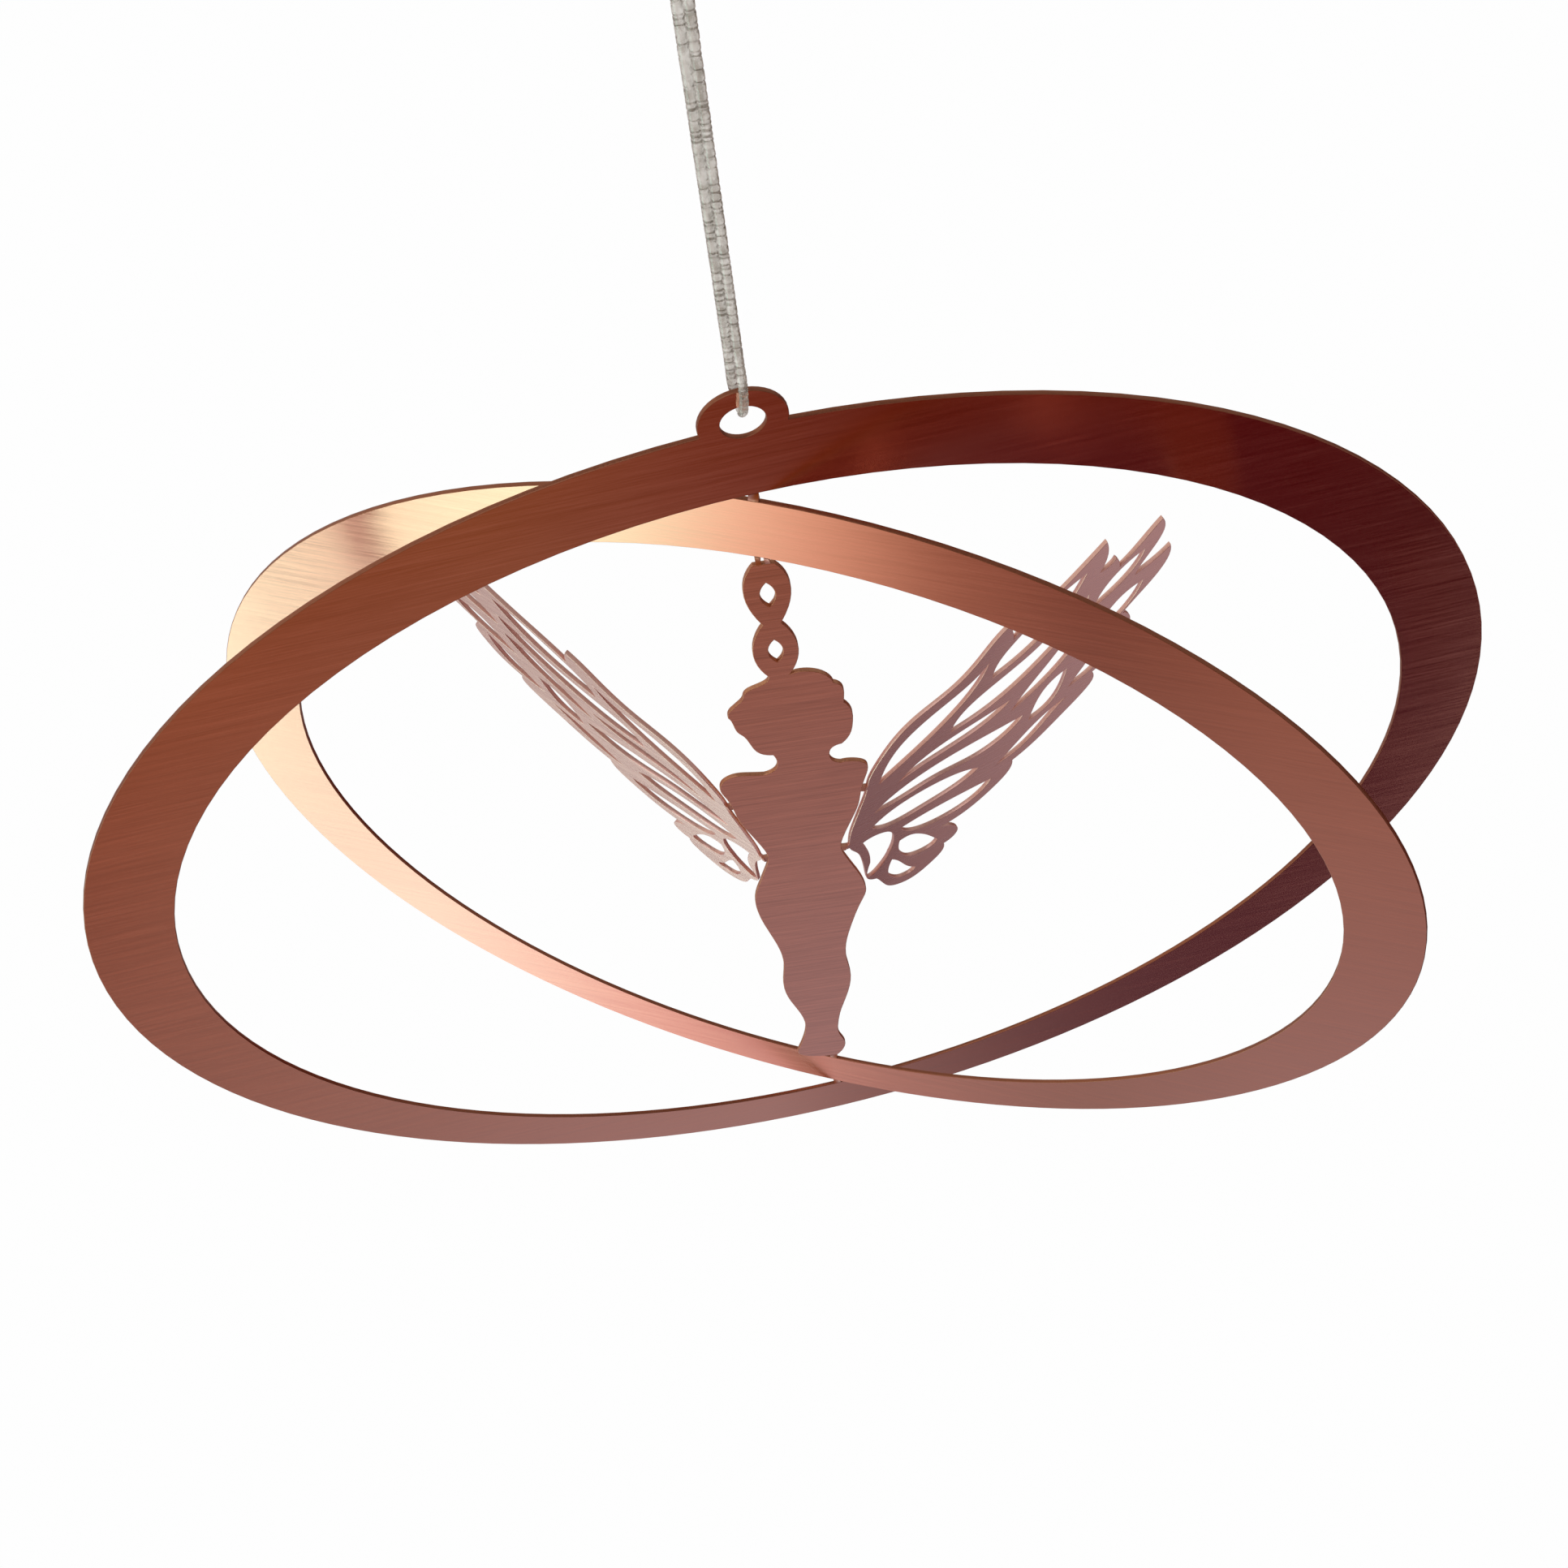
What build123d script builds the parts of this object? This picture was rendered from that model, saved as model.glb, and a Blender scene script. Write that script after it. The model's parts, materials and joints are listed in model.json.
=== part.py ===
from build123d import *
from math import asin, atan2, cos, degrees, pi, radians, sin
import os

# Hanging wind spinner: two flat rings and a winged figure, cut from one sheet and joined by small
# tabs that are twisted or bent. It hangs on a doubled cord from a swivel and a wire hook.
# Millimetres, +Z up. The origin is the saddle of the hook, where its support bears.
# The flat outlines are drawn as (x, height) about the rings' common centre.

# Cut sheet
SHEET = 0.5                  # thickness
RING_RADIUS = 82.5           # outer ring, outside
OUTER_BAND = 9.5             # width of the outer ring
RING_GAP = 1.1               # cut between the two rings
INNER_BAND = 8.9             # width of the inner ring
OUTER_RING_TURN = 5.6        # azimuth of each ring's plane, in degrees
INNER_RING_TURN = -21.7
CENTRE_DROP = 177.5          # from the hook's saddle down to the rings' centre
OUTER_INSIDE = RING_RADIUS - OUTER_BAND
INNER_OUTSIDE = OUTER_INSIDE - RING_GAP
INNER_INSIDE = INNER_OUTSIDE - INNER_BAND

# Eye on top of the outer ring
EYE_HEIGHT = 83.3
EYE_RADIUS = 4.1
EYE_HOLE_RADIUS = 2.06

# Tabs
TAB_SLACK = 0.03             # between a tab's end and the part that turns against it
RING_TAB_WIDTH = 1.0
LINK_TAB_WIDTH = 0.5
LINK_TAB_OFFSET = 0.45
LINK_TOP = 61.9              # flat top of the upper link
FOOT_LEVEL = -61.9

# Wing bend lines, from the waist tab to the armpit tab, on the right of the figure
WAIST = (4.85, 1.65)
ARMPIT = (7.8, 15.4)
BEND_LEAN = degrees(atan2(ARMPIT[0] - WAIST[0], ARMPIT[1] - WAIST[1]))
RIGHT_BEND = 21.0            # degrees back from the figure's plane
LEFT_BEND = 44.0
BEND_RADIUS = 0.27           # outside of a bent tab
BEND_LENGTH = 0.95
LUG_REACH = 0.75             # from the bend line to the wing or the body
CELL_MARGIN = 0.24           # cut away beyond the drawn outline of each opening in a wing

# Cord, with its sleeve
CORD_DIAMETER = 0.85
STRAND_TURN = 65.0           # azimuth by which the pair of strands is turned at the sleeve
STRAND_OFFSET = 0.5          # from the axis to each strand, in the sleeve
SLEEVE_TOP = -38.0
SLEEVE_LENGTH = 6.0
SLEEVE_BORE_RADIUS = 0.44
SLEEVE_OUTSIDE = 0.95

# Swivel
EYE_WIRE = 0.4               # radius of the wire of the swivel's eyes
EYE_LOOP = 1.7               # radius of their centre line
UPPER_EYE_HEIGHT = -20.87
LOWER_EYE_HEIGHT = -33.1
BARREL_TOP = -24.0
BARREL_LENGTH = 6.0
BARREL_RADIUS = 1.6
BARREL_WALL = 0.45
BARREL_END = 0.9             # thickness of each end wall
SHANK_SLACK = 0.05
HEAD_RADIUS = 0.9
HEAD_LENGTH = 0.6
HEAD_SLACK = 0.08

# Hook
HOOK_WIRE = 0.7              # radius
HOOK_BEND = 6.0              # centre line of the open bend that goes over the support
HOOK_EYE = 3.0               # centre line of the closed bend that holds the swivel
HOOK_SPACING = 12.0          # between the centres of the two bends
HOOK_TIP = 205.0             # where the open bend ends, in degrees
HOOK_CLOSE = 70.0            # where the closed bend ends

CENTRE = Pos(0, 0, -CENTRE_DROP)


# Outlines of the cut sheet -------------------------------------------------------------------

def stroke(*points):
    """One smooth edge through its points: a line, an arc or a spline."""
    if len(points) == 2:
        return Line(*points)
    if len(points) == 3:
        return ThreePointArc(*points)
    return Spline(*points)


def outline(strokes):
    """Face inside a closed chain of strokes, each starting where the last one ended."""
    starts = [points[0] for points in strokes]
    ends = starts[1:] + starts[:1]
    return make_face([stroke(*points, end) for points, end in zip(strokes, ends)])


def widened(strokes, margin):
    """Strokes of a closed outline, with each point moved outward, square to its neighbours' line."""
    points = [Vector(*point) for chain in strokes for point in chain]
    ahead = points[1:] + points[:1]
    behind = points[-1:] + points[:-1]
    area = sum(here.X * after.Y - here.Y * after.X for here, after in zip(points, ahead))
    side = margin if area > 0 else -margin
    moved = []
    for before, here, after in zip(behind, points, ahead):
        run = (after - before).normalized()
        moved.append((here.X + side * run.Y, here.Y - side * run.X))
    rest = iter(moved)
    return [[next(rest) for _ in chain] for chain in strokes]


def cut(face):
    """Sheet of a face drawn as (x, height), standing in the XZ plane and centred on it."""
    return extrude(Plane.XZ * face, SHEET / 2, both=True)


# Strokes of the figure, from the link's flat top down the right side and up the left.
FIGURE = [
    [(-1.05, LINK_TOP)],
    [(1.05, LINK_TOP), (2.0, 60.0), (2.35, 57.1), (1.9, 54.2)],
    [(0.95, 51.6), (1.9, 49.5), (2.35, 46.6), (2.0, 44.0)],
    [(1.1, 41.9), (3.3, 41.9), (4.9, 40.6)],
    [(5.5, 39.1), (6.3, 38.2), (6.5, 36.6)],
    [(6.4, 34.9), (7.1, 33.2), (7.15, 30.6), (6.7, 28.0)],
    [(5.7, 26.3), (4.9, 26.0)],
    [(4.4, 25.3), (4.25, 24.0), (4.6, 22.9)],
    [(5.4, 22.3), (6.9, 22.2), (8.2, 21.2), (8.3, 19.6), (7.85, 17.6), (7.4, 15.4), (7.0, 12.4),
     (5.85, 8.2), (4.8, 4.6), (4.4, 2.2), (4.75, 0.0), (5.9, -4.1), (6.8, -8.2), (6.85, -10.7),
     (6.3, -12.8), (5.3, -16.5), (4.4, -20.6), (3.7, -24.7), (3.5, -28.9), (3.8, -34.0),
     (3.0, -41.2), (1.9, -46.2), (1.3, -50.5), (1.3, -54.5), (1.9, -57.4), (1.5, -60.2)],
    [(0.6, FOOT_LEVEL)],
    [(-0.6, FOOT_LEVEL), (-3.0, -61.3), (-4.9, -59.6)],
    [(-4.9, -58.2), (-3.9, -54.2), (-3.3, -49.5), (-3.8, -45.0), (-4.8, -40.5), (-5.3, -35.0),
     (-4.8, -29.0), (-4.9, -24.7), (-5.6, -20.0), (-6.4, -15.5), (-6.85, -11.5), (-6.8, -8.0),
     (-5.9, -4.1), (-4.75, 0.0), (-4.4, 2.2), (-4.8, 4.6), (-5.85, 8.2), (-7.0, 12.4),
     (-7.4, 15.4), (-7.85, 17.6), (-8.35, 19.6), (-8.0, 21.4), (-6.6, 22.4), (-4.6, 22.2)],
    [(-3.2, 21.9), (-1.9, 22.8), (-1.6, 24.6)],
    [(-1.9, 25.9), (-3.4, 26.8), (-4.2, 29.0)],
    [(-5.0, 31.2), (-5.5, 32.6), (-5.6, 33.4)],
    [(-6.0, 34.9), (-5.6, 36.4), (-4.6, 37.6)],
    [(-4.1, 38.6), (-3.1, 40.0), (-1.9, 40.6)],
    [(-1.1, 41.9), (-2.0, 44.0), (-2.35, 46.6), (-1.9, 49.5)],
    [(-0.95, 51.6), (-1.9, 54.2), (-2.35, 57.1), (-2.0, 60.0)],
]
LINK_HOLE_HEIGHTS = (56.7, 46.6)
LINK_HOLE = (0.75, 2.05)     # half width and half height of the almond hole in each link

# Strokes of the right wing in the flat sheet: up the front edge, over the tips, back along the
# rear edge and the small lower lobe, and up beside the body.
WING = [
    [(8.05, 15.7), (8.4, 17.5), (9.6, 20.4), (11.4, 23.6), (14.2, 26.6), (18.9, 29.5),
     (22.0, 32.9), (24.0, 35.9)],
    [(25.6, 37.6), (26.1, 36.0)],
    [(26.3, 34.3), (28.4, 36.7), (31.4, 39.6), (34.3, 42.7)],
    [(36.8, 45.6), (37.2, 42.7)],
    [(36.5, 39.6), (37.3, 39.9)],
    [(38.3, 41.2), (38.8, 40.1)],
    [(39.0, 38.9), (41.0, 41.2), (42.3, 43.1)],
    [(43.6, 44.8), (44.1, 42.3), (43.1, 39.3)],
    [(41.3, 35.3), (43.0, 36.1)],
    [(45.4, 38.1), (45.5, 35.9), (43.7, 31.9)],
    [(40.6, 27.6), (41.7, 25.6), (41.4, 22.6), (40.2, 19.2)],
    [(37.6, 16.2), (37.9, 14.4), (36.6, 11.8), (33.7, 8.3), (30.6, 4.9)],
    [(27.7, 2.7), (27.4, 0.4), (25.0, -2.8), (22.0, -5.2)],
    [(18.1, -6.5), (19.3, -7.4)],
    [(20.4, -9.3), (20.1, -11.1)],
    [(18.5, -12.2), (18.3, -14.3), (16.6, -16.4), (13.4, -18.2), (10.9, -17.3), (9.7, -15.0)],
    [(8.8, -12.5), (8.0, -11.9)],
    [(7.45, -10.6), (7.2, -7.0), (6.9, -4.1), (6.2, -1.2), (5.45, 0.6), (5.35, 2.3), (5.6, 4.9),
     (6.3, 7.9), (7.15, 11.2), (7.85, 14.0)],
]

# Openings of the right wing, each as the strokes of its two sides.
WING_CELLS = [
    [[(9.6, 15.1), (10.6, 17.9), (12.7, 22.0), (16.5, 25.4), (20.8, 28.2)],
     [(23.2, 31.1), (21.8, 27.8), (18.0, 22.5), (13.4, 18.2)]],
    [[(23.9, 27.6), (24.9, 30.5), (27.6, 34.3), (31.0, 38.0)],
     [(34.7, 40.6), (33.3, 37.4), (29.2, 31.3)]],
    [[(18.9, 19.2), (21.0, 22.8), (24.8, 25.7), (29.5, 29.0), (33.0, 32.8)],
     [(35.3, 35.6), (34.0, 31.6), (30.4, 26.6), (25.4, 21.9)]],
    [[(12.4, 12.7), (17.9, 16.8), (23.3, 18.4)],
     [(26.2, 19.6), (23.3, 17.0), (17.7, 15.0)]],
    [[(26.8, 17.0), (29.2, 20.6), (31.6, 24.4), (33.9, 28.0)],
     [(36.0, 30.2), (34.6, 26.2), (31.6, 21.4)]],
    [[(36.6, 32.5), (38.0, 36.1), (39.7, 38.2)],
     [(41.8, 39.8), (40.8, 37.2), (39.0, 34.8)]],
    [[(29.6, 11.9), (30.5, 15.8), (31.7, 18.4)],
     [(33.7, 20.3), (33.0, 16.4), (31.3, 13.1)]],
    [[(34.7, 15.7), (36.5, 18.9), (38.4, 22.6)],
     [(39.8, 25.6), (39.4, 21.6), (37.4, 17.6)]],
    [[(36.3, 24.5), (38.4, 29.0), (40.2, 31.6)],
     [(42.3, 32.9), (41.4, 30.2), (39.2, 27.0)]],
    [[(25.7, 3.8), (28.9, 7.9), (31.6, 10.9)],
     [(33.9, 13.0), (31.0, 8.7), (28.4, 5.6)]],
    [[(9.1, 7.5), (13.1, 10.6), (18.4, 12.4), (24.2, 13.2)],
     [(28.3, 13.7), (26.3, 11.3), (22.5, 9.4), (17.2, 9.2), (12.0, 8.0)]],
    [[(8.7, 3.6), (11.3, 5.6), (16.0, 6.85), (20.7, 6.4)],
     [(22.6, 5.5), (20.7, 4.1), (15.4, 2.5), (10.2, 2.3)]],
    [[(12.6, -0.8), (16.0, -0.15), (20.4, 0.2)],
     [(24.6, 0.3), (22.8, -2.1), (18.4, -3.8), (14.3, -3.0)]],
    [[(7.3, 0.4), (8.7, 0.7), (10.3, 0.1), (11.1, -2.4)],
     [(10.4, -6.2), (9.5, -8.5), (8.5, -10.4)],
     [(8.3, -6.5), (8.2, -3.5), (7.8, -1.2)]],
    [[(12.4, -4.5), (13.7, -4.5), (14.9, -5.6), (16.0, -7.3)],
     [(17.2, -9.7), (16.6, -10.7), (15.1, -10.9), (13.7, -10.3), (12.8, -8.8), (12.3, -6.6)]],
    [[(11.2, -9.2), (11.9, -10.9), (12.6, -12.7)],
     [(14.1, -15.1), (13.6, -15.8), (12.4, -15.7), (11.5, -14.7), (10.9, -13.3), (10.8, -11.5)]],
]


# Rings, figure and wings ---------------------------------------------------------------------

def ring(outside, inside):
    return Circle(outside) - Circle(inside)


def make_outer_ring():
    face = ring(RING_RADIUS, OUTER_INSIDE) + Pos(0, EYE_HEIGHT) * Circle(EYE_RADIUS)
    face -= Pos(0, EYE_HEIGHT) * Circle(EYE_HOLE_RADIUS)
    return Rot(0, 0, OUTER_RING_TURN) * cut(face)


def make_inner_ring():
    return Rot(0, 0, INNER_RING_TURN) * cut(ring(INNER_OUTSIDE, INNER_INSIDE))


def almond(half_width, half_height):
    top = (0, half_height)
    bottom = (0, -half_height)
    return make_face([ThreePointArc(top, (half_width, 0), bottom),
                      ThreePointArc(bottom, (-half_width, 0), top)])


def make_figure():
    face = outline(FIGURE)
    for height in LINK_HOLE_HEIGHTS:
        face -= Pos(0, height) * almond(*LINK_HOLE)
    return cut(face)


def on_bend_line(point):
    """Place on the right wing's bend line, with its Z axis up along the line."""
    return Pos(point[0], 0, point[1]) * Rot(0, BEND_LEAN, 0)


def lug(point, outward):
    """Flat lug at a tab, from the bend line outward (+1) or towards the body (-1)."""
    return on_bend_line(point) * Pos(outward * LUG_REACH / 2, 0, 0) * Box(LUG_REACH, SHEET, BEND_LENGTH)


def make_wing(bend):
    """Right wing, bent back about its bend line. Its lugs stop just short of the bent tabs."""
    wing = cut(outline(WING))
    for point in (WAIST, ARMPIT):
        wing += lug(point, 1)
        wing -= on_bend_line(point) * Cylinder(BEND_RADIUS + TAB_SLACK, 2 * BEND_LENGTH)
    for cell in WING_CELLS:
        wing -= cut(outline(widened(cell, CELL_MARGIN)))
    bend_line = Axis((WAIST[0], 0, WAIST[1]), (ARMPIT[0] - WAIST[0], 0, ARMPIT[1] - WAIST[1]))
    return wing.rotate(bend_line, bend)


def make_wing_tab(point, figure):
    """Bent tab at the right side of the body, with its root against the body's edge."""
    rod = on_bend_line(point) * Cylinder(BEND_RADIUS, BEND_LENGTH)
    return rod + lug(point, -1) - figure


def make_wing_tabs(figure):
    """All four bent tabs. The left ones are made on the right of the figure's mirror image."""
    flipped = mirror(figure, about=Plane.YZ)
    tabs = {}
    for name, point in (("armpit", ARMPIT), ("waist", WAIST)):
        tabs["right_" + name + "_tab"] = make_wing_tab(point, figure)
        tabs["left_" + name + "_tab"] = mirror(make_wing_tab(point, flipped), about=Plane.YZ)
    return tabs


# Twisted tabs --------------------------------------------------------------------------------

def twisted_strip(offset, width, low, high, low_turn, high_turn):
    """Upright strip of sheet, turned about the Z axis from one end to the other."""
    bottom = Pos(0, 0, low) * Rot(0, 0, low_turn) * Pos(offset, 0) * Rectangle(width, SHEET)
    top = Pos(0, 0, high) * Rot(0, 0, high_turn) * Pos(offset, 0) * Rectangle(width, SHEET)
    return loft([bottom, top])


def make_ring_tabs():
    """The two tabs between the rings. They stay with the outer ring and end on its curved edge."""
    root = (OUTER_INSIDE ** 2 - (RING_TAB_WIDTH / 2) ** 2) ** 0.5
    tip = INNER_OUTSIDE + TAB_SLACK
    top = twisted_strip(0, RING_TAB_WIDTH, tip, root, INNER_RING_TURN, OUTER_RING_TURN)
    bottom = twisted_strip(0, RING_TAB_WIDTH, -root, -tip, OUTER_RING_TURN, INNER_RING_TURN)
    return top, bottom


def make_link_tabs():
    """Two tabs from the upper link to the inner ring. They stay with the figure."""
    tip = INNER_INSIDE - 2 * TAB_SLACK
    strips = [twisted_strip(side * LINK_TAB_OFFSET, LINK_TAB_WIDTH, LINK_TOP, tip, 0, INNER_RING_TURN)
              for side in (-1, 1)]
    return Compound(children=strips)


def make_foot_tab():
    tip = INNER_INSIDE - 2 * TAB_SLACK
    return twisted_strip(0, RING_TAB_WIDTH, -tip, FOOT_LEVEL, INNER_RING_TURN, 0)


# Cord and sleeve -----------------------------------------------------------------------------

def turned(across, angle, height):
    """Point at a distance across the axis, on the line of azimuth -90 degrees turned by angle."""
    return (across * sin(radians(angle)), -across * cos(radians(angle)), height)


def cord_route():
    """Centre line: down one strand, under the eye's bridge, up the other and over the swivel."""
    bridge = -CENTRE_DROP + EYE_HEIGHT + EYE_HOLE_RADIUS
    wire = LOWER_EYE_HEIGHT - EYE_LOOP
    mouth = SLEEVE_TOP - SLEEVE_LENGTH - 0.3
    middle = SLEEVE_TOP - SLEEVE_LENGTH / 2
    spread = SLEEVE_TOP + 1.2
    sleeve, eye = STRAND_TURN, OUTER_RING_TURN
    return [
        turned(STRAND_OFFSET, sleeve, middle - 0.03),
        turned(STRAND_OFFSET, sleeve, mouth),
        turned(0.74, eye, bridge - 0.10),
        turned(0.33, eye, bridge - 0.62),
        turned(-0.33, eye, bridge - 0.62),
        turned(-0.74, eye, bridge - 0.10),
        turned(-STRAND_OFFSET, sleeve, mouth),
        turned(-STRAND_OFFSET, sleeve, spread),
        turned(-0.92, sleeve, wire + 0.36),
        turned(-0.36, sleeve, wire + 0.92),
        turned(0.36, sleeve, wire + 0.92),
        turned(0.92, sleeve, wire + 0.36),
        turned(STRAND_OFFSET, sleeve, spread),
        turned(STRAND_OFFSET, sleeve, middle + 0.03),
    ]


def corner_radii(points):
    """Radius of each corner: 0.45 of its shorter run, over the tangent of half its turn."""
    radii = []
    for before, here, after in zip(points, points[1:], points[2:]):
        into = Vector(*here) - Vector(*before)
        out = Vector(*after) - Vector(*here)
        half_turn = radians(into.get_angle(out)) / 2
        radii.append(0.45 * min(into.length, out.length) * cos(half_turn) / sin(half_turn))
    return radii


def make_cord():
    points = cord_route()
    radii = corner_radii(points)
    path = FilletPolyline(*points, radius=radii)
    start = Plane(origin=points[0], z_dir=path % 0)
    cord = sweep(start * Circle(CORD_DIAMETER / 2), path=path)
    ratio = cord.volume / (pi * CORD_DIAMETER ** 2 / 4 * path.length)
    print("cord radii", [round(radius, 2) for radius in radii])
    print("cord length", round(path.length, 2), "volume ratio", round(ratio, 4))
    return cord


def make_sleeve():
    """Oval crimp sleeve with one bore for each strand."""
    face = SlotCenterToCenter(2 * STRAND_OFFSET, 2 * SLEEVE_OUTSIDE)
    for side in (-1, 1):
        face -= Pos(side * STRAND_OFFSET, 0) * Circle(SLEEVE_BORE_RADIUS)
    sleeve = extrude(face, SLEEVE_LENGTH)
    return Pos(0, 0, SLEEVE_TOP - SLEEVE_LENGTH) * Rot(0, 0, STRAND_TURN - 90) * sleeve


# Swivel and hook -----------------------------------------------------------------------------

def make_barrel():
    """Hollow barrel with a hole in each end for the shank of an eye."""
    inside = BARREL_RADIUS - BARREL_WALL
    cavity = Cylinder(inside, BARREL_LENGTH - 2 * BARREL_END)
    bore = Cylinder(EYE_WIRE + SHANK_SLACK, BARREL_LENGTH)
    body = Cylinder(BARREL_RADIUS, BARREL_LENGTH)
    rims = body.edges().filter_by(GeomType.CIRCLE)
    return Pos(0, 0, BARREL_TOP - BARREL_LENGTH / 2) * (fillet(rims, 0.55) - cavity - bore)


def make_swivel_eye(height, barrel_face, towards):
    """Eye with its shank and head. Its head is inside the barrel, in the direction towards (+1 up)."""
    inner_face = barrel_face + towards * BARREL_END
    head = inner_face + towards * (HEAD_SLACK + HEAD_LENGTH / 2)
    root = height + towards * EYE_LOOP
    shank = Cylinder(EYE_WIRE, abs(head - root))
    eye = Pos(0, 0, height) * Rot(90, 0, 0) * Torus(EYE_LOOP, EYE_WIRE)
    eye += Pos(0, 0, (head + root) / 2) * shank
    eye += Pos(0, 0, head) * Cylinder(HEAD_RADIUS, HEAD_LENGTH)
    return eye


def make_upper_eye():
    return Rot(0, 0, 90) * make_swivel_eye(UPPER_EYE_HEIGHT, BARREL_TOP, -1)


def make_lower_eye():
    return Rot(0, 0, STRAND_TURN) * make_swivel_eye(LOWER_EYE_HEIGHT, BARREL_TOP - BARREL_LENGTH, 1)


def make_hook():
    """S-hook of round wire: an open bend over the support and a closed one for the swivel."""
    upper = HOOK_WIRE - HOOK_BEND
    lower = upper - HOOK_SPACING
    cross = degrees(asin((HOOK_BEND + HOOK_EYE) / HOOK_SPACING))
    over = CenterArc((0, upper), HOOK_BEND, HOOK_TIP, -HOOK_TIP - cross)
    under = CenterArc((0, lower), HOOK_EYE, 180 - cross, 180 + cross + HOOK_CLOSE)
    path = Plane.XZ * (Curve() + [over, Line(over @ 1, under @ 0), under])
    wire = Wire(path.edges())
    hook = sweep(Plane(origin=wire @ 0, z_dir=wire % 0) * Circle(HOOK_WIRE), path=wire)
    for end in (0, 1):
        hook += Pos(*(wire @ end)) * Sphere(HOOK_WIRE)
    return hook


# The whole spinner ---------------------------------------------------------------------------

def make_parts():
    top_tab, bottom_tab = make_ring_tabs()
    spinner = {
        "outer_ring": make_outer_ring(),
        "inner_ring": make_inner_ring(),
        "figure": make_figure(),
        "right_wing": make_wing(RIGHT_BEND),
        "left_wing": mirror(make_wing(LEFT_BEND), about=Plane.YZ),
        "ring_tab_top": top_tab,
        "ring_tab_bottom": bottom_tab,
        "link_tabs": make_link_tabs(),
        "foot_tab": make_foot_tab(),
    }
    spinner.update(make_wing_tabs(spinner["figure"]))
    parts = {name: CENTRE * part for name, part in spinner.items()}
    parts["hanging_cord"] = make_cord()
    parts["cord_sleeve"] = make_sleeve()
    parts["swivel_barrel"] = make_barrel()
    parts["swivel_upper_eye"] = make_upper_eye()
    parts["swivel_lower_eye"] = make_lower_eye()
    parts["s_hook"] = make_hook()
    return parts


os.makedirs("parts", exist_ok=True)
for name, part in make_parts().items():
    export_step(part, "parts/" + name + ".step")
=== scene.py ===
import json
import math
import random

import bmesh
import bpy
from mathutils import Matrix, Vector


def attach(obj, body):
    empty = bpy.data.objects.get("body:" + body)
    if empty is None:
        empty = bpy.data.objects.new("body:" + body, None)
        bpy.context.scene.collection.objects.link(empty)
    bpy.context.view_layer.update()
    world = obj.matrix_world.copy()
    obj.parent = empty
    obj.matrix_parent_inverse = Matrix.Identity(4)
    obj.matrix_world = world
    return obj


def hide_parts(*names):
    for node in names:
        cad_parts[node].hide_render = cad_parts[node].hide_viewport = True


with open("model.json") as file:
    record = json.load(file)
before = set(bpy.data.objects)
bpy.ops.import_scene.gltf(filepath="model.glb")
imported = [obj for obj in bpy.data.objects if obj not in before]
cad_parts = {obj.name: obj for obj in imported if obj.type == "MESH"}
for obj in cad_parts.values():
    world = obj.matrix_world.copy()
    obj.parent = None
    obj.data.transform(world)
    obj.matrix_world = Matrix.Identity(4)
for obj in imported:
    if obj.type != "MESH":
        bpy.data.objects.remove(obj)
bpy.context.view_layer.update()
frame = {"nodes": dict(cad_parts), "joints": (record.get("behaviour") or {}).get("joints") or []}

# Hanging wind spinner of brushed copper-coloured sheet, in metres. The rings, the figure and the wings
# are bevelled sheets cut to the outlines of their CAD nodes, and the cord is a ribbed clear line.

MM = 0.001
JOINTS = {joint["name"]: joint for joint in frame["joints"]}
RING_CENTRE = Vector(JOINTS["inner_ring_turn"]["pos_m"])
OUTER_TURN = 5.6             # azimuth of each ring's plane, in degrees
INNER_TURN = -21.7


# Camera --------------------------------------------------------------------------------------

LENS = 49.84                 # this and the sensor's width are in millimetres
SENSOR_WIDTH = 36
CAMERA_PLACE = (0, -0.11944, 0.05371)
PICTURE_RIGHT = (0.9898, -0.1215, -0.0739)
PICTURE_UP = (0.1421, 0.8631, 0.4846)


def make_camera():
    data = bpy.data.cameras.new("camera")
    data.lens = LENS
    data.sensor_width = SENSOR_WIDTH
    data.clip_start = 0.005
    data.clip_end = 50
    camera = bpy.data.objects.new("camera", data)
    bpy.context.scene.collection.objects.link(camera)
    right = Vector(PICTURE_RIGHT)
    back = right.cross(Vector(PICTURE_UP))
    turn = Matrix((right, back.cross(right), back)).transposed()
    camera.matrix_world = Matrix.Translation(CAMERA_PLACE) @ turn.to_4x4()
    bpy.context.scene.camera = camera


# Node helpers --------------------------------------------------------------------------------

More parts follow.
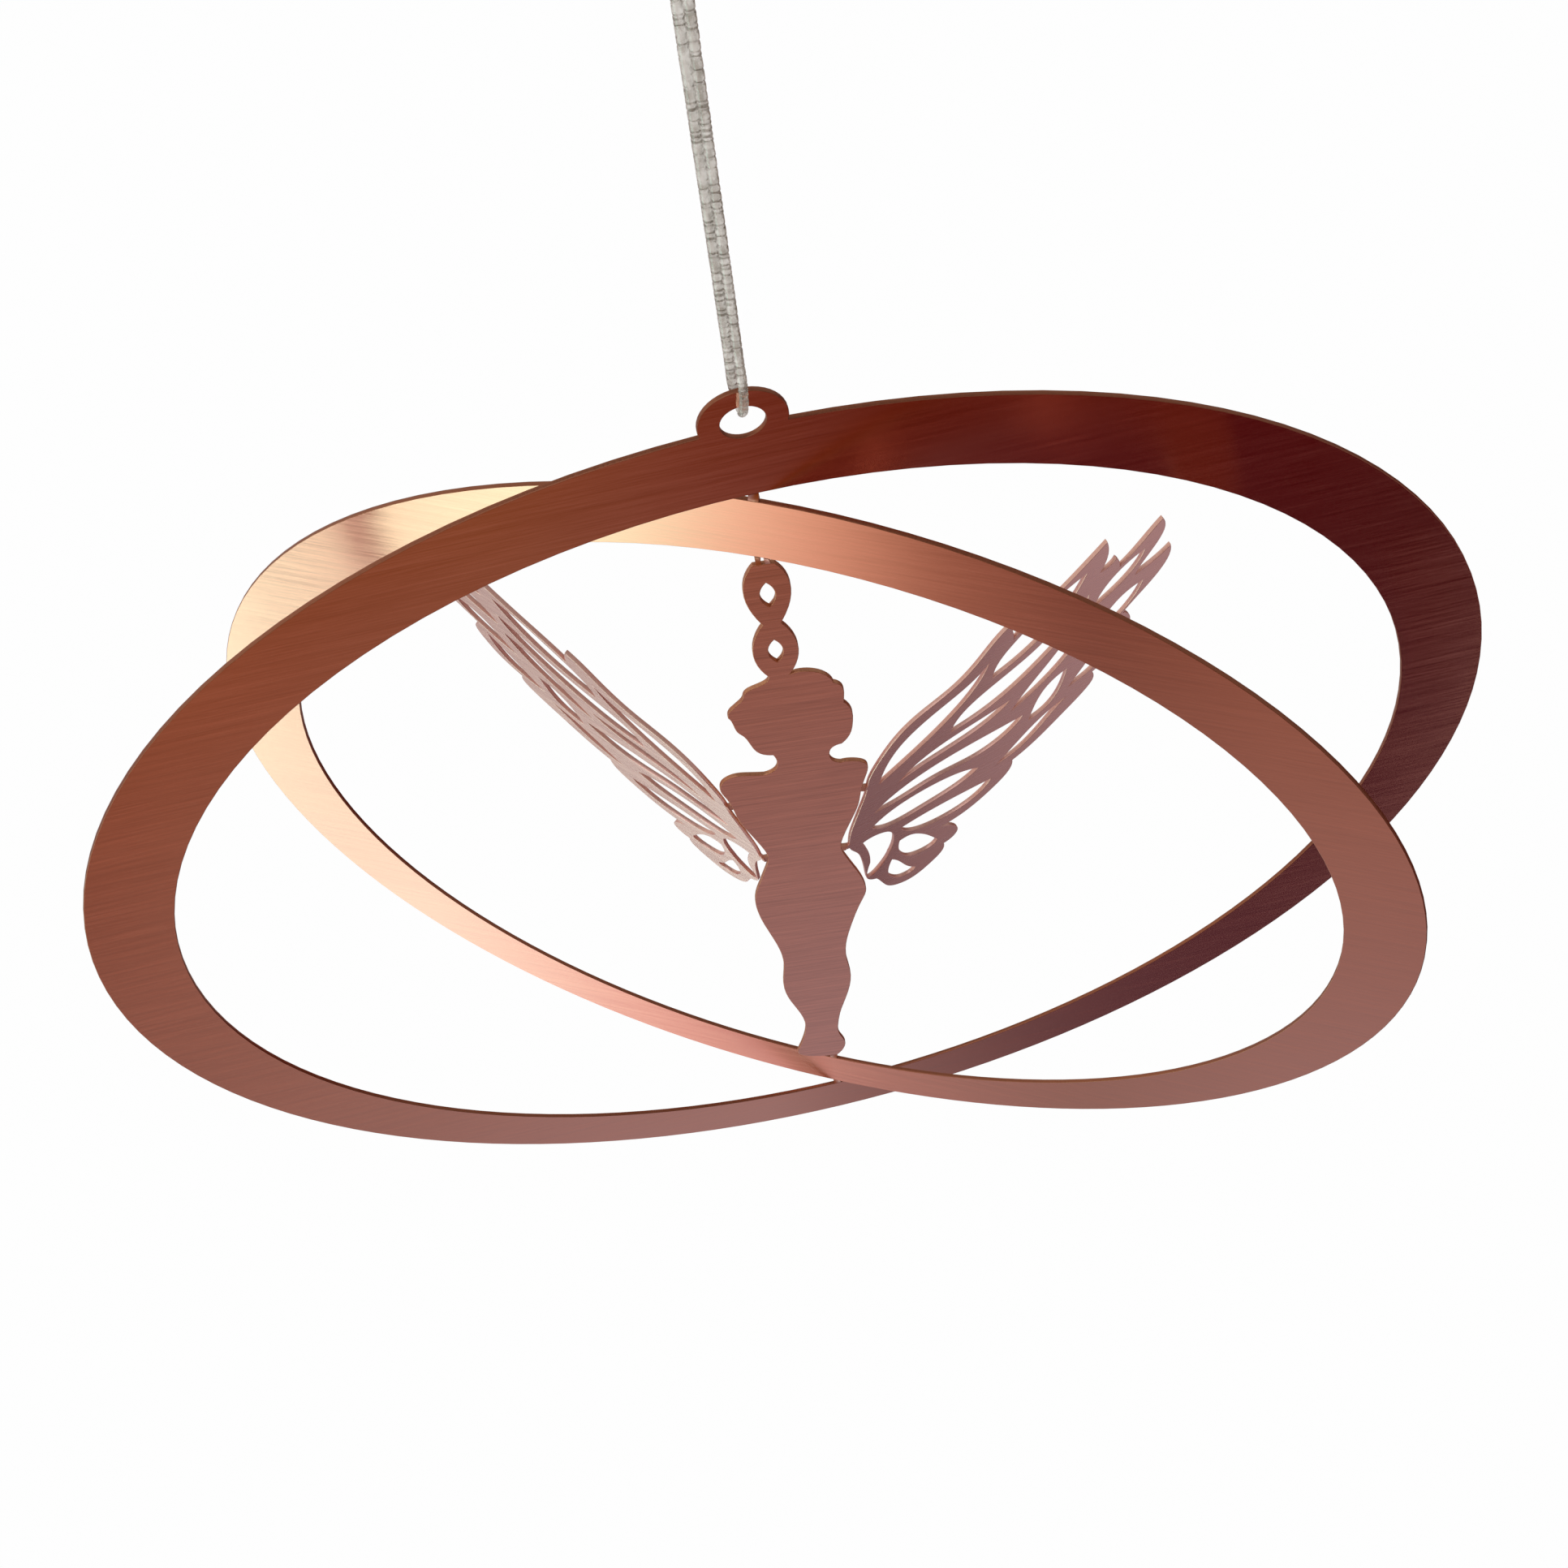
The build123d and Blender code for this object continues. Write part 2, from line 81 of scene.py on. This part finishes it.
class Nodes:
    """Short hand for building a node tree."""

    def __init__(self, tree):
        self.tree = tree
        tree.nodes.clear()

    def add(self, kind, inputs=(), **settings):
        node = self.tree.nodes.new(kind)
        for key, value in settings.items():
            setattr(node, key, value)
        for key, value in dict(inputs).items():
            self.feed(node.inputs[key], value)
        return node

    def feed(self, socket, value):
        if isinstance(value, bpy.types.NodeSocket):
            self.tree.links.new(value, socket)
        else:
            socket.default_value = value

    def math(self, operation, a, b=0.0):
        node = self.add("ShaderNodeMath", operation=operation)
        self.feed(node.inputs[0], a)
        self.feed(node.inputs[1], b)
        return node.outputs[0]

    def spread(self, value, low, high, out_low=0.0, out_high=1.0):
        """Value mapped from low..high to out_low..out_high, and held there."""
        node = self.add("ShaderNodeMapRange", {"Value": value, "From Min": low, "From Max": high,
                                               "To Min": out_low, "To Max": out_high})
        return node.outputs["Result"]

    def mix(self, factor, a, b, blend="MIX"):
        node = self.add("ShaderNodeMix", data_type="RGBA", blend_type=blend)
        self.feed(node.inputs["Factor"], factor)
        self.feed(node.inputs[6], a)
        self.feed(node.inputs[7], b)
        return node.outputs[2]

    def ramp(self, value, stops):
        node = self.add("ShaderNodeValToRGB", {"Fac": value})
        elements = node.color_ramp.elements
        while len(elements) < len(stops):
            elements.new(0.5)
        for element, (place, colour) in zip(elements, stops):
            element.position = place
            element.color = (*colour, 1)
        return node.outputs["Color"]

    def scaled(self, vector, scale):
        node = self.add("ShaderNodeVectorMath", {0: vector, 1: scale}, operation="MULTIPLY")
        return node.outputs[0]

    def noise(self, vector, detail=3.0, roughness=0.55):
        node = self.add("ShaderNodeTexNoise", {"Vector": vector, "Scale": 1.0, "Detail": detail,
                                               "Roughness": roughness})
        return node.outputs["Fac"]


def new_material(name):
    material = bpy.data.materials.new(name)
    material.use_nodes = True
    return material, Nodes(material.node_tree)


def tint(colour, factor):
    return tuple(part * factor for part in colour) + (1,)


def finish_material(nodes, shader):
    nodes.add("ShaderNodeOutputMaterial", {"Surface": shader.outputs[0]})


# Metal materials -----------------------------------------------------------------------------

def brushed_sheet(name, colour, contrast, roughness=0.14, relief=0.25):
    """Coated sheet with level brush lines. Its pattern follows the flat sheet, in millimetres.

    Contrast is how much the lines lighten and darken the colour, and relief how much they stand out.
    """
    material, n = new_material(name)
    flat = n.add("ShaderNodeAttribute", attribute_name="flat").outputs["Vector"]
    fine = n.noise(n.scaled(flat, (0.14, 4.6, 1.0)), detail=4.0, roughness=0.68)
    long = n.noise(n.scaled(flat, (0.035, 1.5, 1.0)), detail=3.0)
    cloud = n.noise(n.scaled(flat, (0.03, 0.045, 1.0)), detail=2.0)
    lines = n.math("ADD", n.math("MULTIPLY", fine, 0.65), n.math("MULTIPLY", long, 0.35))
    shade = n.spread(lines, 0.3, 0.7, 1 - contrast, 1 + contrast)
    base = n.mix(cloud, tint(colour, 0.93), tint(colour, 1.07))
    base = n.mix(1.0, base, n.add("ShaderNodeCombineColor", {0: shade, 1: shade, 2: shade}).outputs[0],
                 blend="MULTIPLY")
    bump = n.add("ShaderNodeBump", {"Strength": relief, "Distance": 0.00002, "Height": lines})
    across = n.add("ShaderNodeVectorTransform", {"Vector": (0, 0, 1)}, vector_type="VECTOR",
                   convert_from="OBJECT", convert_to="WORLD")
    shader = n.add("ShaderNodeBsdfPrincipled", {
        "Base Color": base, "Metallic": 1.0, "Anisotropic": 0.9, "Tangent": across.outputs[0],
        "Roughness": n.spread(lines, 0.3, 0.7, roughness - 0.04, roughness + 0.05),
        "Normal": bump.outputs[0]})
    finish_material(n, shader)
    return material


def cut_edge(name, colour):
    """The sheet's cut edge, duller than its faces, with fine marks across its thickness."""
    material, n = new_material(name)
    flat = n.add("ShaderNodeAttribute", attribute_name="flat").outputs["Vector"]
    marks = n.noise(n.scaled(flat, (6.0, 6.0, 1.5)), detail=3.0)
    base = n.mix(marks, tint(colour, 0.75), tint(colour, 1.25))
    bump = n.add("ShaderNodeBump", {"Strength": 0.4, "Distance": 0.00002, "Height": marks})
    shader = n.add("ShaderNodeBsdfPrincipled", {
        "Base Color": base, "Metallic": 1.0, "Roughness": n.spread(marks, 0.3, 0.7, 0.32, 0.5),
        "Normal": bump.outputs[0]})
    finish_material(n, shader)
    return material


def drawn_wire(name, colour, roughness):
    """Drawn or turned metal with fine marks and a few duller patches."""
    material, n = new_material(name)
    place = n.add("ShaderNodeTexCoord").outputs["Object"]
    marks = n.noise(n.scaled(place, (3000, 3000, 500)), detail=3.0)
    patches = n.noise(n.scaled(place, (350, 350, 350)), detail=2.0)
    base = n.mix(patches, tint(colour, 0.86), tint(colour, 1.06))
    bump = n.add("ShaderNodeBump", {"Strength": 0.25, "Distance": 0.00001, "Height": marks})
    shader = n.add("ShaderNodeBsdfPrincipled", {
        "Base Color": base, "Metallic": 1.0,
        "Roughness": n.spread(patches, 0.3, 0.7, roughness - 0.04, roughness + 0.08),
        "Normal": bump.outputs[0]})
    finish_material(n, shader)
    return material


def clear_line(name):
    """Clear plastic line, a little cloudy inside, with a slightly uneven skin."""
    material, n = new_material(name)
    place = n.add("ShaderNodeTexCoord").outputs["Object"]
    clouds = n.noise(n.scaled(place, (1500, 1500, 700)), detail=4.0)
    skin = n.noise(n.scaled(place, (2600, 2600, 1500)), detail=3.0)
    base = n.mix(n.spread(clouds, 0.38, 0.62), (0.50, 0.47, 0.42, 1), (0.97, 0.95, 0.91, 1))
    bump = n.add("ShaderNodeBump", {"Strength": 0.8, "Distance": 0.00004, "Height": skin})
    shader = n.add("ShaderNodeBsdfPrincipled", {
        "Base Color": base, "Metallic": 0.0, "IOR": 1.5, "Transmission Weight": 0.7,
        "Roughness": n.spread(clouds, 0.4, 0.6, 0.03, 0.16), "Normal": bump.outputs[0]})
    finish_material(n, shader)
    return material


# Cut sheets ----------------------------------------------------------------------------------

SHEET = 0.5 * MM             # thickness
EDGE_ROUND = 0.07 * MM       # rounding of the cut edges
FACE_LIMIT = 0.999           # cosine of the most that a face may lean and still be a brushed one
SMOOTH_LIMIT = math.radians(40)


def standing(turn):
    """From the flat sheet, standing in the XZ plane about the rings' centre, to the row frame."""
    return Matrix.Translation(RING_CENTRE) @ Matrix.Rotation(math.radians(turn), 4, "Z")


def bent(joint_name):
    """From the flat sheet to the row frame, for a wing bent back at its joint."""
    joint = JOINTS[joint_name]
    place = Matrix.Translation(joint["pos_m"])
    turn = Matrix.Rotation(math.radians(-joint["range_deg"][0]), 4, Vector(joint["axis"]))
    return place @ turn @ place.inverted() @ standing(0)


def outline_loops(node, flat):
    """Closed outlines, in millimetres, of the front face of a CAD sheet."""
    mesh = bmesh.new()
    mesh.from_mesh(frame["nodes"][node].data)
    mesh.transform(flat.inverted())
    bmesh.ops.remove_doubles(mesh, verts=mesh.verts, dist=0.002 * MM)
    front = {face for face in mesh.faces
             if all(abs(vert.co.y + SHEET / 2) < 0.02 * SHEET for vert in face.verts)}
    nearby = {}
    for edge in mesh.edges:
        if len([face for face in edge.link_faces if face in front]) == 1:
            first, second = edge.verts
            nearby.setdefault(first, []).append(second)
            nearby.setdefault(second, []).append(first)
    loops = []
    while nearby:
        here = min(nearby, key=lambda vert: vert.index)
        loop = []
        while here in nearby:
            loop.append((here.co.x / MM, here.co.z / MM))
            ahead = [vert for vert in nearby.pop(here) if vert in nearby]
            here = ahead[0] if ahead else None
        loops.append(loop)
    mesh.free()
    return loops


def sheet_mesh(name, loops):
    """Bevelled plate between the loops, in millimetres, standing in the XZ plane."""
    curve = bpy.data.curves.new(name, "CURVE")
    curve.dimensions = "2D"
    curve.fill_mode = "BOTH"
    curve.extrude = (SHEET / 2 - EDGE_ROUND) / MM
    curve.bevel_depth = EDGE_ROUND / MM
    curve.bevel_resolution = 1
    curve.offset = -EDGE_ROUND / MM
    for loop in loops:
        spline = curve.splines.new("POLY")
        spline.points.add(len(loop) - 1)
        for point, (x, y) in zip(spline.points, loop):
            point.co = (x, y, 0, 1)
        spline.use_cyclic_u = True
    holder = bpy.data.objects.new(name, curve)
    bpy.context.scene.collection.objects.link(holder)
    bpy.context.view_layer.update()
    mesh = bpy.data.meshes.new_from_object(holder.evaluated_get(bpy.context.evaluated_depsgraph_get()))
    bpy.data.objects.remove(holder)
    mesh.transform(Matrix.Rotation(math.radians(90), 4, "X"))
    return mesh


def make_sheet(name, node, body, flat, face, edge):
    """Piece that stands for a cut CAD sheet, with brushed faces and cut edges."""
    mesh = sheet_mesh(name, outline_loops(node, flat))
    mesh.materials.append(face)
    mesh.materials.append(edge)
    shape = bmesh.new()
    shape.from_mesh(mesh)
    bmesh.ops.remove_doubles(shape, verts=shape.verts, dist=0.001)
    bmesh.ops.recalc_face_normals(shape, faces=shape.faces)
    for part in shape.faces:
        part.smooth = True
        part.material_index = 0 if abs(part.normal.y) > FACE_LIMIT else 1
    for line in shape.edges:
        slots = {part.material_index for part in line.link_faces}
        line.smooth = len(slots) == 1 and line.calc_face_angle(0) < SMOOTH_LIMIT
    shape.to_mesh(mesh)
    shape.free()
    place = mesh.attributes.new("flat", "FLOAT_VECTOR", "POINT")
    for value, vert in zip(place.data, mesh.vertices):
        value.vector = (vert.co.x, vert.co.z, vert.co.y)
    mesh.transform(flat @ Matrix.Scale(MM, 4))
    piece = bpy.data.objects.new(name, mesh)
    bpy.context.scene.collection.objects.link(piece)
    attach(piece, body)
    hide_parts(node)


# Cord ----------------------------------------------------------------------------------------

CORD_DIAMETER = 0.85 * MM
CORD_SIDES = 14
CORD_STEP = 0.07 * MM        # between the rings of points along it
ROUTE_STEPS = 24             # resolution of the curve that the route is read from
GROOVE_GAP = 0.8 * MM        # mean distance between the grooves
GROOVE_WIDTH = 0.14 * MM

# Parts of the cord's radius, as shares of half its diameter
FULLNESS = 1.04              # radius between the grooves
GROOVE_DEPTHS = (0.04, 0.18)
SWELL = 0.03                 # two slow waves along the cord, multiplied
SWELL_LENGTHS = (0.9 * MM, 2.3 * MM)  # of one radian of each wave

# The route, in millimetres and degrees
STRAND_TURN = 65.0           # azimuth by which the pair of strands is turned at the sleeve
STRAND_OFFSET = 0.5          # from the axis to each strand, in the sleeve
SLEEVE_TOP = -38.0
SLEEVE_LENGTH = 6.0
LOWER_WIRE = -34.8           # lowest part of the swivel eye's centre line
BRIDGE = -92.14              # top of the hole in the outer ring's eye


def turned(across, angle, height):
    """Point in millimetres, at a distance across the axis on a line turned by angle."""
    azimuth = math.radians(angle)
    return Vector((across * math.sin(azimuth), -across * math.cos(azimuth), height))


def cord_route():
    """The cord's points: down one strand, under the eye's bridge, up the other, over the swivel."""
    mouth = SLEEVE_TOP - SLEEVE_LENGTH - 0.3
    middle = SLEEVE_TOP - SLEEVE_LENGTH / 2
    spread = SLEEVE_TOP + 1.2
    sleeve, eye = STRAND_TURN, OUTER_TURN
    route = [
        turned(STRAND_OFFSET, sleeve, middle - 0.03),
        turned(STRAND_OFFSET, sleeve, mouth),
        turned(0.47, sleeve - 7, mouth - 3.0),
        turned(0.47, sleeve - 5, BRIDGE + 11.0),
        turned(0.60, eye + 36, BRIDGE + 5.6),
        turned(0.86, eye + 24, BRIDGE + 2.0),
        turned(0.77, eye + 6, BRIDGE - 0.10),
        turned(0.33, eye, BRIDGE - 0.64),
        turned(-0.33, eye, BRIDGE - 0.64),
        turned(-0.77, eye + 10, BRIDGE - 0.10),
        turned(-0.88, eye + 26, BRIDGE + 2.0),
        turned(-0.60, eye + 36, BRIDGE + 5.6),
        turned(-0.47, sleeve - 5, BRIDGE + 11.0),
        turned(-0.47, sleeve - 7, mouth - 3.0),
        turned(-STRAND_OFFSET, sleeve, mouth),
        turned(-STRAND_OFFSET, sleeve, spread),
        turned(-0.92, sleeve, LOWER_WIRE + 0.36),
        turned(-0.36, sleeve, LOWER_WIRE + 0.92),
        turned(0.36, sleeve, LOWER_WIRE + 0.92),
        turned(0.92, sleeve, LOWER_WIRE + 0.36),
        turned(STRAND_OFFSET, sleeve, spread),
        turned(STRAND_OFFSET, sleeve, middle + 0.03),
    ]
    return [point * MM for point in route]


def smooth_line(points, steps):
    """Points read from the NURBS spline with these control points."""
    curve = bpy.data.curves.new("route", "CURVE")
    curve.dimensions = "3D"
    curve.resolution_u = steps
    spline = curve.splines.new("NURBS")
    spline.points.add(len(points) - 1)
    for control, point in zip(spline.points, points):
        control.co = (*point, 1)
    spline.order_u = 3
    spline.use_endpoint_u = True
    holder = bpy.data.objects.new("route", curve)
    bpy.context.scene.collection.objects.link(holder)
    bpy.context.view_layer.update()
    mesh = bpy.data.meshes.new_from_object(holder.evaluated_get(bpy.context.evaluated_depsgraph_get()))
    line = [vert.co.copy() for vert in mesh.vertices]
    bpy.data.objects.remove(holder)
    bpy.data.meshes.remove(mesh)
    return line


def even_points(line, spacing):
    """The line's points again, evenly spaced along it."""
    lengths = [0.0]
    for before, here in zip(line, line[1:]):
        lengths.append(lengths[-1] + (here - before).length)
    count = round(lengths[-1] / spacing)
    points = []
    at = 0
    for step in range(count + 1):
        along = lengths[-1] * step / count
        while at < len(line) - 2 and lengths[at + 1] < along:
            at += 1
        run = max(lengths[at + 1] - lengths[at], 1e-9)
        points.append(line[at].lerp(line[at + 1], (along - lengths[at]) / run))
    return points, lengths[-1]


def rib_profile(length):
    """Function of the distance along the cord: its radius there, as a share, with uneven ribs."""
    draw = random.Random(11)
    grooves = [0.0]
    while grooves[-1] < length:
        grooves.append(grooves[-1] + GROOVE_GAP * draw.uniform(0.55, 1.45))
    depths = [draw.uniform(*GROOVE_DEPTHS) for _ in grooves]

    def share(along):
        nearest = min(range(len(grooves)), key=lambda index: abs(grooves[index] - along))
        gap = (along - grooves[nearest]) / GROOVE_WIDTH
        swell = SWELL * math.sin(along / SWELL_LENGTHS[0]) * math.sin(along / SWELL_LENGTHS[1])
        return FULLNESS + swell - depths[nearest] * math.exp(-gap * gap)
    return share


def make_cord(material):
    """Tube with a ribbed surface along the cord's route, closed at both ends."""
    points, length = even_points(smooth_line(cord_route(), ROUTE_STEPS), CORD_STEP)
    share = rib_profile(length)
    shape = bmesh.new()
    rings = []
    side = None
    for index, point in enumerate(points):
        ahead = points[min(index + 1, len(points) - 1)] - points[max(index - 1, 0)]
        ahead.normalize()
        side = ahead.orthogonal() if side is None else side - ahead * side.dot(ahead)
        side.normalize()
        up = ahead.cross(side)
        radius = CORD_DIAMETER / 2 * share(length * index / (len(points) - 1))
        rings.append([shape.verts.new(point + radius * (side * math.cos(a) + up * math.sin(a)))
                      for a in (2 * math.pi * k / CORD_SIDES for k in range(CORD_SIDES))])
    for low, high in zip(rings, rings[1:]):
        for k in range(CORD_SIDES):
            after = (k + 1) % CORD_SIDES
            shape.faces.new((low[k], low[after], high[after], high[k]))
    shape.faces.new(rings[0][::-1])
    shape.faces.new(rings[-1])
    for face in shape.faces:
        face.smooth = True
    mesh = bpy.data.meshes.new("ribbed_cord")
    shape.to_mesh(mesh)
    shape.free()
    mesh.materials.append(material)
    piece = bpy.data.objects.new("ribbed_cord", mesh)
    bpy.context.scene.collection.objects.link(piece)
    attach(piece, "cord_drop")
    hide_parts("hanging_cord")


# Stage ---------------------------------------------------------------------------------------

def make_world():
    """Soft studio surround: plain white to the camera and through the cord, shaded for everything else.

    Below the horizon two belts meet, each coloured by azimuth: one that goes about 50 degrees down
    and a steeper one. Both are bright on the left and dark on the right, but for a patch there that
    the right wing mirrors.
    """
    world = bpy.data.worlds.new("studio")
    bpy.context.scene.world = world
    world.use_nodes = True
    n = Nodes(world.node_tree)
    way = n.add("ShaderNodeSeparateXYZ", {0: n.add("ShaderNodeTexCoord").outputs["Generated"]})
    x, y, z = way.outputs
    azimuth = n.math("ARCTAN2", x, n.math("MULTIPLY", y, -1.0))  # zero at the front, growing to the right
    share = n.spread(azimuth, math.radians(-180), math.radians(180))
    leftward = n.spread(azimuth, math.radians(-40), math.radians(-50))

    def stop(degrees, *colour):
        return ((degrees + 180) / 360, colour)

    level = n.ramp(share, [
        stop(-150, 0.55, 0.50, 0.46), stop(-100, 0.40, 0.28, 0.32), stop(-82, 0.6, 0.6, 0.5),
        stop(-74, 1.7, 2.5, 2.2), stop(-63.7, 1.75, 2.5, 2.2), stop(-63.5, 0.22, 0.0, 0.0),
        stop(-60.9, 0.22, 0.0, 0.0), stop(-60.2, 1.5, 1.95, 1.7), stop(-54, 1.45, 2.0, 1.7),
        stop(-49, 1.4, 2.8, 2.3), stop(-45, 1.4, 1.5, 1.25), stop(-41, 1.05, 0.80, 0.63),
        stop(-35.5, 0.36, 0.17, 0.10), stop(-28, 0.16, 0.03, 0.0), stop(-18, 0.28, 0.10, 0.03),
        stop(-10, 0.25, 0.08, 0.01), stop(0, 0.24, 0.08, 0.005), stop(10, 0.17, 0.03, 0.0),
        stop(22, 0.09, 0.0, 0.0), stop(48, 0.04, 0.0, 0.0), stop(52, 0.72, 0.58, 0.60),
        stop(68, 0.54, 0.44, 0.45), stop(86, 0.12, 0.02, 0.01), stop(135, 0.12, 0.02, 0.01),
        stop(160, 0.45, 0.38, 0.34)])
    steep = n.ramp(share, [
        stop(-150, 0.55, 0.52, 0.5), stop(-100, 0.40, 0.30, 0.34), stop(-84, 0.6, 0.6, 0.6),
        stop(-74, 1.3, 1.7, 1.6), stop(-62, 1.3, 1.5, 1.5), stop(-57, 0.98, 0.60, 0.64),
        stop(-53, 0.90, 0.55, 0.56), stop(-43, 0.47, 0.33, 0.34), stop(-27, 0.32, 0.26, 0.27),
        stop(-8, 0.38, 0.33, 0.38), stop(6, 0.40, 0.35, 0.40), stop(16, 0.27, 0.22, 0.25),
        stop(30, 0.12, 0.075, 0.105), stop(48, 0.05, 0.0, 0.02), stop(52, 0.72, 0.58, 0.60),
        stop(68, 0.38, 0.31, 0.34), stop(88, 0.20, 0.12, 0.12), stop(135, 0.20, 0.12, 0.12),
        stop(160, 0.5, 0.45, 0.42)])
    low = n.mix(n.spread(z, -0.78, n.spread(leftward, 0, 1, -0.93, -0.86)), level, steep)
    dome = n.mix(n.spread(x, -0.8, 0.8), (0.70, 0.64, 0.55, 1), (0.36, 0.32, 0.29, 1))
    dome = n.mix(n.spread(z, 0.35, 0.9), dome, (0.25, 0.20, 0.18, 1))
    studio = n.mix(n.spread(z, -0.35, 0.0), low, dome)
    path = n.add("ShaderNodeLightPath")
    seen = n.math("MAXIMUM", path.outputs["Is Camera Ray"], path.outputs["Is Transmission Ray"])
    colour = n.mix(seen, studio, (1, 1, 1, 1))
    shine = n.add("ShaderNodeBackground", {"Color": colour, "Strength": 1.0})
    n.add("ShaderNodeOutputWorld", {"Surface": shine.outputs[0]})


FLOOR_REACH = 6              # from the hanging axis to the floor's sides
FLOOR_LEVEL = -0.5
MIDDLE = (0, 0, -0.14)       # of the whole spinner, which the light faces


def make_floor():
    """Pale floor well below the spinner, which neither lights it nor shows in its metal."""
    mesh = bpy.data.meshes.new("floor")
    corners = [(x * FLOOR_REACH, y * FLOOR_REACH, 0) for x, y in ((-1, -1), (1, -1), (1, 1), (-1, 1))]
    mesh.from_pydata(corners, [], [(0, 1, 2, 3)])
    floor = bpy.data.objects.new("floor", mesh)
    floor.location = (0, 0, FLOOR_LEVEL)
    bpy.context.scene.collection.objects.link(floor)
    material, n = new_material("pale_floor")
    shine = n.add("ShaderNodeEmission", {"Color": (0.99, 0.99, 0.99, 1), "Strength": 1.0})
    finish_material(n, shine)
    mesh.materials.append(material)
    floor.visible_glossy = False
    floor.visible_diffuse = False


def make_light(name, place, size, power):
    """Soft square light."""
    data = bpy.data.lights.new(name, "AREA")
    data.size = size
    data.energy = power
    light = bpy.data.objects.new(name, data)
    light.location = place
    towards = Vector(MIDDLE) - light.location
    light.rotation_euler = towards.to_track_quat("-Z", "Y").to_euler()
    bpy.context.scene.collection.objects.link(light)


# The spinner ---------------------------------------------------------------------------------

def paint(material, *nodes):
    """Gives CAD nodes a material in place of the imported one."""
    for name in nodes:
        data = frame["nodes"][name].data
        data.materials.clear()
        data.materials.append(material)


make_camera()
make_cord(clear_line("clear_line"))

# The coating's colours. The wings' paler rose is the coating's rose with painted light from the white
# backdrop mixed in.
COPPER = (0.86, 0.45, 0.33)
ROSE = (0.86, 0.46, 0.36)
# Painted light: the wings' rose, paled towards the white backdrop
ROSE_WITH_PAINTED_BACKDROP_LIGHT = (0.95, 0.64, 0.60)
ring_face = brushed_sheet("brushed_rings", COPPER, contrast=0.13)
figure_face = brushed_sheet("brushed_figure", ROSE, contrast=0.3)
wing_face = brushed_sheet("brushed_wings_with_painted_light", ROSE_WITH_PAINTED_BACKDROP_LIGHT, contrast=0.13, roughness=0.28, relief=0.1)
# The cut-edge colours are partly painted shade and light: dark on the rings for the dark sky their top
# edges mirror, lighter on the figure, and paled towards the white backdrop on the wings
ring_edge = cut_edge("cut_ring_edge_painted_dark", (0.38, 0.15, 0.09))
figure_edge = cut_edge("cut_figure_edge", (0.66, 0.33, 0.20))
wing_edge = cut_edge("cut_wing_edge_painted_pale", (0.93, 0.62, 0.57))
make_sheet("outer_ring_sheet", "outer_ring", "outer", standing(OUTER_TURN), ring_face, ring_edge)
make_sheet("inner_ring_sheet", "inner_ring", "inner", standing(INNER_TURN), ring_face, ring_edge)
make_sheet("figure_sheet", "figure", "figure_body", standing(0), figure_face, figure_edge)
for wing in ("right_wing", "left_wing"):
    make_sheet(f"{wing}_sheet", wing, wing, bent(f"{wing}_bend"), wing_face, wing_edge)

paint(drawn_wire("twisted_tab", (0.80, 0.45, 0.34), roughness=0.3),
      "ring_tab_top", "ring_tab_bottom", "link_tabs", "foot_tab",
      "right_armpit_tab", "right_waist_tab", "left_armpit_tab", "left_waist_tab")
paint(drawn_wire("swivel_chrome", (0.82, 0.82, 0.83), roughness=0.14),
      "swivel_barrel", "swivel_upper_eye", "swivel_lower_eye")
paint(drawn_wire("hook_wire", (0.66, 0.66, 0.67), roughness=0.24), "s_hook")
paint(drawn_wire("crimp_sleeve", (0.74, 0.74, 0.75), roughness=0.34), "cord_sleeve")

make_world()
make_floor()
make_light("overhead", place=(-0.4, -0.2, 0.7), size=0.6, power=1.2)
bpy.context.scene.view_settings.view_transform = "Standard"
